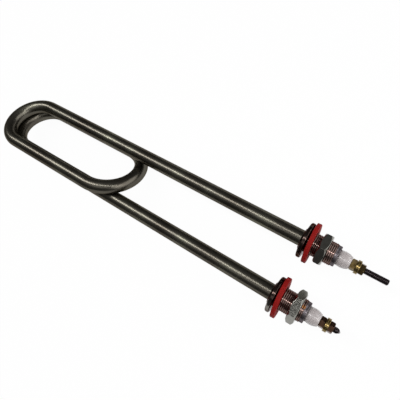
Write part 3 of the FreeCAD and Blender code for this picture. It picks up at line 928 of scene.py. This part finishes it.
def build_studs(sizes):
    crest = sizes.stud_diameter / 2
    pin = sizes.pin_diameter / 2
    around = 32
    # Step from the crests down to the plain ring where the thread starts.
    neck = 0.0001
    # Sheared end: rough and stepped on the right, drawn to a point on the left. Its
    # length, its step below the crests, and its rows as shares of length and radius.
    sheared = {"right": (0.0006, 0.0002, ((0.45, 0.93), (0.8, 0.72), (1.0, 0.45))),
               "left": (0.0026, 0.0001, ((0.35, 0.8), (0.7, 0.48), (0.93, 0.22)))}
    for side, way, y in legs(sizes):
        low, high = span(side + "_terminal_pin")
        inner = span(side + "_inner_nut")[0]
        shoulder, thread_start = inner - 0.006, inner - 0.0055
        tip, step, rows = sheared[side]
        thread_end = high - tip
        chance = random.Random(21 + way)
        ends = crest - step
        profile = [(thread_end, ends)]
        for share, size in rows:
            rough = [chance.uniform(-1, 1) for _ in range(8)]
            radii = []
            stations = []
            for i in range(around):
                k = i * 8 / around
                first, second = rough[int(k) % 8], rough[(int(k) + 1) % 8]
                wobble = first + (second - first) * (k % 1)
                radii.append(ends * size * (1 + 0.06 * wobble))
                stations.append(min(high - 2e-5, thread_end + tip * (share + 0.1 * wobble)))
            profile.append((stations, radii))
        profile.append((high - tip * 0.12, 0.0))
        shape = turned(profile, around, closed=False)
        turned([(low, 0.0), (low, pin), (shoulder, pin), (shoulder, crest - 0.0004),
                (thread_start, crest - neck)], around, closed=False, shape=shape)
        add_threaded(side + "_stud", shape, stud_steel, side + "_terminal_pin", y, {
            "Start": thread_start, "Length": thread_end - thread_start, "Crest Radius": crest,
            "Depth": sizes.stud_depth, "Pitch": sizes.stud_pitch, "Start Radius": crest - neck,
            "End Radius": ends, "Lead In": 0.0007, "Lead Out": 0.0004, "Wear": 0.00006,
            "Around": around, "Seed": 9.0 + way})


def build_brass(sizes):
    countersink, bevel, edge = 0.0003, 0.00008, 0.00025
    for side, _way, y in legs(sizes):
        metal = dull_brass if side == "right" else brown_brass
        for which, body in (("inner", ROOT), ("outer", side + "_outer_nut")):
            stem = side + "_" + which
            low, high = span(stem + "_nut")
            shape = nut_shape(sizes.terminal_flats, high - low, sizes.stud_diameter / 2 + PLAY,
                              getattr(sizes, stem + "_turn"), 72, countersink)
            add_piece(stem + "_brass_nut", shape, body, metal,
                      stem + "_nut", at=(low, y, 0), bevel=bevel, sharp=20)
            low, high = span(stem + "_washer")
            shape = turned(rounded_ring(sizes.washer_diameter / 2, sizes.washer_bore / 2,
                                        high - low, edge), 64)
            add_piece(stem + "_brass_washer", shape, ROOT, rubbed_brass,
                      stem + "_washer", at=(low, y, 0))


def finish_inner_parts():
    makers = {"magnesia_fill": pressed_powder, "resistance_coil": coil_wire,
              "right_end_seal": seal_rubber, "left_end_seal": seal_rubber}
    for node, maker in makers.items():
        mesh_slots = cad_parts[node].material_slots
        if not mesh_slots:
            raise RuntimeError(node + " has no material slot")
        for mesh_slot in mesh_slots:
            mesh_slot.material = finish(maker)


def build_stage(scene):
    stage = scene.heater_stage
    # A white floor that takes the object's shadow softly.
    mesh = bpy.data.meshes.new("floor")
    under = float(CAD_BOX[0][2]) - 0.0005
    reach = 60.0
    mesh.from_pydata([(-reach, -reach, under), (reach, -reach, under), (reach, reach, under),
                      (-reach, reach, under)], [], [(0, 1, 2, 3)])
    floor = put("floor", mesh)
    material, tree = new_material("white paper floor")
    path = add(tree, "ShaderNodeLightPath")
    seen = maths(tree, "MAXIMUM", path["Is Camera Ray"], path["Is Glossy Ray"])
    seen = maths(tree, "MAXIMUM", seen, path["Is Transmission Ray"])
    share = maths(tree, "MULTIPLY", seen, 0.96)
    paper = add(tree, "ShaderNodeBsdfDiffuse", {"Color": (0.8, 0.8, 0.8, 1.0)})[0]
    glow = add(tree, "ShaderNodeEmission", {"Color": (1, 1, 1, 1), "Strength": 1.0})[0]
    both = add(tree, "ShaderNodeMixShader", {0: share, 1: paper, 2: glow})[0]
    add(tree, "ShaderNodeOutputMaterial", {"Surface": both})
    mesh.materials.append(material)

    world = bpy.data.worlds.new("even light")
    scene.world = world
    world.use_nodes = True
    tree = world.node_tree
    tree.nodes.clear()
    # Even all round, and weaker towards the horizon, as in a room lit from its ceiling.
    height = axes_of(tree, add(tree, "ShaderNodeTexCoord")["Generated"])["Z"]
    strength = ranged(tree, height, 0.0, 1.0, stage.ambient / 5, stage.ambient)
    sky = add(tree, "ShaderNodeBackground", {"Color": (1, 1, 1, 1), "Strength": strength})[0]
    add(tree, "ShaderNodeOutputWorld", {"Surface": sky})

    # Each lamp: its place, its aim, its size along Y, its other size and its power.
    lamps = (
        ("strip_lamp", (-0.72, -0.035, 1.0), (-0.15, 0, 0), 0.16, 1.05, stage.strip_power),
        ("over_lamp", (0.4, 0.0, 1.0), (0.1, 0, 0), 0.1, 1.4, stage.over_power),
        ("near_lamp", (0.0, -0.5, 1.0), (0, 0, 0), 0.3, 0.9, stage.near_power),
        ("right_lamp", (0.92, 0.33, 0.5), (-0.1, 0, 0), 2.2, 0.9, stage.right_power))
    for name, place, aim, width, height, watts in lamps:
        data = settle(bpy.data.lights.new(name, "AREA"), shape="RECTANGLE", size=width,
                      size_y=height, energy=watts)
        forward = (Vector(aim) - Vector(place)).normalized()
        across = (Vector((0, 1, 0)) - forward.y * forward).normalized()
        put(name, data).matrix_world = facing(place, across, (-forward).cross(across), forward)

    # Camera of the photograph, from its place, its direction and its turn about that.
    yaw, pitch, roll = CAMERA_TURN
    forward = Vector((cos(pitch) * cos(yaw), cos(pitch) * sin(yaw), sin(pitch)))
    level = forward.cross(Vector((0, 0, 1))).normalized()
    upright = level.cross(forward)
    right = cos(roll) * level + sin(roll) * upright
    up = -sin(roll) * level + cos(roll) * upright
    data = settle(bpy.data.cameras.new("camera"), sensor_fit="HORIZONTAL",
                  sensor_width=SENSOR, lens=FOCAL_LENGTH * SENSOR / PHOTO_WIDTH,
                  clip_start=0.01, clip_end=20.0)
    scene.camera = put("camera", data)
    scene.camera.matrix_world = facing(CAMERA_PLACE, right, up, forward)
    scene.view_settings.view_transform = "Standard"


# Operators

class HEATER_OT_tube(bpy.types.Operator):
    """Add the bent heating tube"""

    bl_idname = "heater.tube"
    bl_label = "Heating tube"

    def execute(self, context):
        build_tube(context.scene.heater_sizes)
        return {"FINISHED"}


class HEATER_OT_bushes(bpy.types.Operator):
    """Add the two threaded bushes with their collars"""

    bl_idname = "heater.bushes"
    bl_label = "Threaded bushes"

    def execute(self, context):
        build_bushes(context.scene.heater_sizes)
        return {"FINISHED"}


class HEATER_OT_gaskets(bpy.types.Operator):
    """Add the two red gaskets"""

    bl_idname = "heater.gaskets"
    bl_label = "Gaskets"

    def execute(self, context):
        build_gaskets(context.scene.heater_sizes)
        return {"FINISHED"}


class HEATER_OT_lock_nuts(bpy.types.Operator):
    """Add the two lock nuts"""

    bl_idname = "heater.lock_nuts"
    bl_label = "Lock nuts"

    def execute(self, context):
        build_lock_nuts(context.scene.heater_sizes)
        return {"FINISHED"}


class HEATER_OT_beads(bpy.types.Operator):
    """Add the two ceramic beads"""

    bl_idname = "heater.beads"
    bl_label = "Ceramic beads"

    def execute(self, context):
        build_beads(context.scene.heater_sizes)
        return {"FINISHED"}


class HEATER_OT_studs(bpy.types.Operator):
    """Add the two terminal pins with their threaded studs"""

    bl_idname = "heater.studs"
    bl_label = "Terminal studs"

    def execute(self, context):
        build_studs(context.scene.heater_sizes)
        return {"FINISHED"}


class HEATER_OT_brass(bpy.types.Operator):
    """Add the brass nuts and washers of both terminals"""

    bl_idname = "heater.brass"
    bl_label = "Brass nuts and washers"

    def execute(self, context):
        build_brass(context.scene.heater_sizes)
        return {"FINISHED"}


class HEATER_OT_inner_parts(bpy.types.Operator):
    """Give the hidden parts inside the tube their finishes"""

    bl_idname = "heater.inner_parts"
    bl_label = "Parts inside the tube"

    def execute(self, _context):
        finish_inner_parts()
        return {"FINISHED"}


class HEATER_OT_stage(bpy.types.Operator):
    """Set up the floor, the light and the camera"""

    bl_idname = "heater.stage"
    bl_label = "Stage"

    def execute(self, context):
        build_stage(context.scene)
        return {"FINISHED"}


PIECES = (HEATER_OT_tube, HEATER_OT_bushes, HEATER_OT_gaskets, HEATER_OT_lock_nuts,
          HEATER_OT_beads, HEATER_OT_studs, HEATER_OT_brass, HEATER_OT_inner_parts,
          HEATER_OT_stage)


class HEATER_PT_panel(bpy.types.Panel):
    """Builds the heating element piece by piece"""

    bl_label = "Heating element"
    bl_idname = "HEATER_PT_panel"
    bl_space_type = "VIEW_3D"
    bl_region_type = "UI"
    bl_category = "Heater"

    def draw(self, context):
        for piece in PIECES:
            self.layout.operator(piece.bl_idname)


CLASSES = (HeaterSizes, HeaterColours, HeaterStage) + PIECES + (HEATER_PT_panel,)


def register():
    for item in CLASSES:
        bpy.utils.register_class(item)
    bpy.types.Scene.heater_sizes = PointerProperty(type=HeaterSizes)
    bpy.types.Scene.heater_colours = PointerProperty(type=HeaterColours)
    bpy.types.Scene.heater_stage = PointerProperty(type=HeaterStage)


def unregister():
    del bpy.types.Scene.heater_stage
    del bpy.types.Scene.heater_colours
    del bpy.types.Scene.heater_sizes
    for item in reversed(CLASSES):
        bpy.utils.unregister_class(item)


def main():
    register()
    for piece in PIECES:
        group, name = piece.bl_idname.split(".")
        getattr(getattr(bpy.ops, group), name)()


if __name__ == "__main__":
    main()
